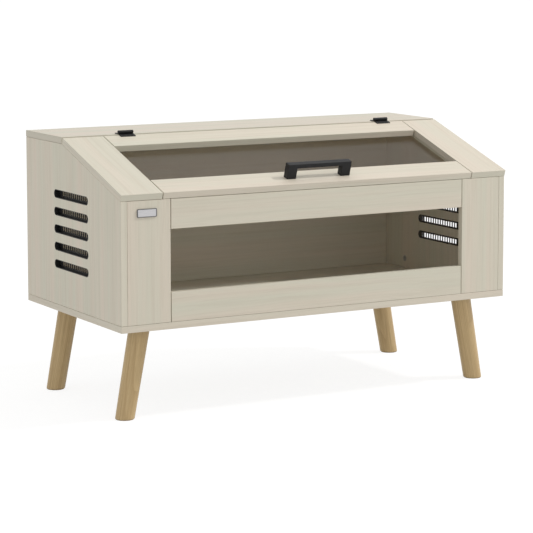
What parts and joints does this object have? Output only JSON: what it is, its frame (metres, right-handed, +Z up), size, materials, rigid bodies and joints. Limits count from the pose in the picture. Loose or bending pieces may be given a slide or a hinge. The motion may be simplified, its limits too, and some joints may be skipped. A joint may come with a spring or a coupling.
{
  "type": "vivarium",
  "caption": "Vivarium cabinet on splayed wooden legs, with a front window, slotted side vents with black grilles, and a sloping glazed lid on hinges with a black handle.",
  "frame": {"origin": "on the floor, under the middle of the cabinet", "axes": "+X to the right as seen from the front, +Y from the front window to the back, +Z up"},
  "size_m": [1.001, 0.5084, 0.6116],
  "materials": {
    "pale_laminate": "pale cream wood-grain laminate, matt",
    "oak": "pale oak, satin varnish",
    "dowel_wood": "raw beech",
    "clear_acrylic": "clear, polished",
    "black_plastic": "moulded, matt",
    "black_metal": "black, satin",
    "handle_metal": "black powder coat, matt",
    "zinc_steel": "zinc plated",
    "badge_metal": "satin, with a dark rim",
    "glide_plastic": "moulded, matt",
    "clear_bumper": "soft, clear"
  },
  "bodies": {
    "cabinet": {"back_panel": "pale_laminate", "badge_plate": "badge_metal", "bottom_board": "pale_laminate", "cam_bolts": "zinc_steel", "cam_locks": "zinc_steel", "front_bottom_rail": "pale_laminate", "front_left_leg": "oak", "front_left_leg_glide": "glide_plastic", "front_left_leg_plate": "zinc_steel", "front_right_leg": "oak", "front_right_leg_glide": "glide_plastic", "front_right_leg_plate": "zinc_steel", "front_top_rail": "pale_laminate", "front_window_pane": "clear_acrylic", "front_window_screws": "zinc_steel", "hinge_fixed_leaf_screws": "black_metal", "left_front_stile": "pale_laminate", "left_hinge_fixed_leaf": "black_metal", "left_hinge_pin": "black_metal", "left_side_panel": "pale_laminate", "left_slope_strip": "pale_laminate", "left_vent_grille_1": "black_plastic", "left_vent_grille_2": "black_plastic", "left_vent_grille_3": "black_plastic", "left_vent_grille_4": "black_plastic", "left_vent_grille_5": "black_plastic", "leg_hanger_bolts": "zinc_steel", "leg_plate_screws": "zinc_steel", "rear_left_leg": "oak", "rear_left_leg_glide": "glide_plastic", "rear_left_leg_plate": "zinc_steel", "rear_right_leg": "oak", "rear_right_leg_glide": "glide_plastic", "rear_right_leg_plate": "zinc_steel", "right_front_stile": "pale_laminate", "right_hinge_fixed_leaf": "black_metal", "right_hinge_pin": "black_metal", "right_side_panel": "pale_laminate", "right_slope_strip": "pale_laminate", "right_vent_grille_1": "black_plastic", "right_vent_grille_2": "black_plastic", "right_vent_grille_3": "black_plastic", "right_vent_grille_4": "black_plastic", "right_vent_grille_5": "black_plastic", "top_board": "pale_laminate", "wood_dowels": "dowel_wood"},
    "lid": {"hinge_lid_leaf_screws": "black_metal", "left_hinge_lid_leaf": "black_metal", "lid_bumpers": "clear_bumper", "lid_front_rail": "pale_laminate", "lid_handle": "handle_metal", "lid_handle_screws": "zinc_steel", "lid_rear_rail": "pale_laminate", "lid_window_pane": "clear_acrylic", "lid_window_screws": "zinc_steel", "right_hinge_lid_leaf": "black_metal"}
  },
  "joints": [
    {"name": "lid_hinge", "type": "hinge", "parent": "cabinet", "child": "lid", "pos_m": [0, 0.05, 0.6076], "axis": [-1, 0, 0], "range_deg": [0, 200]}
  ]
}
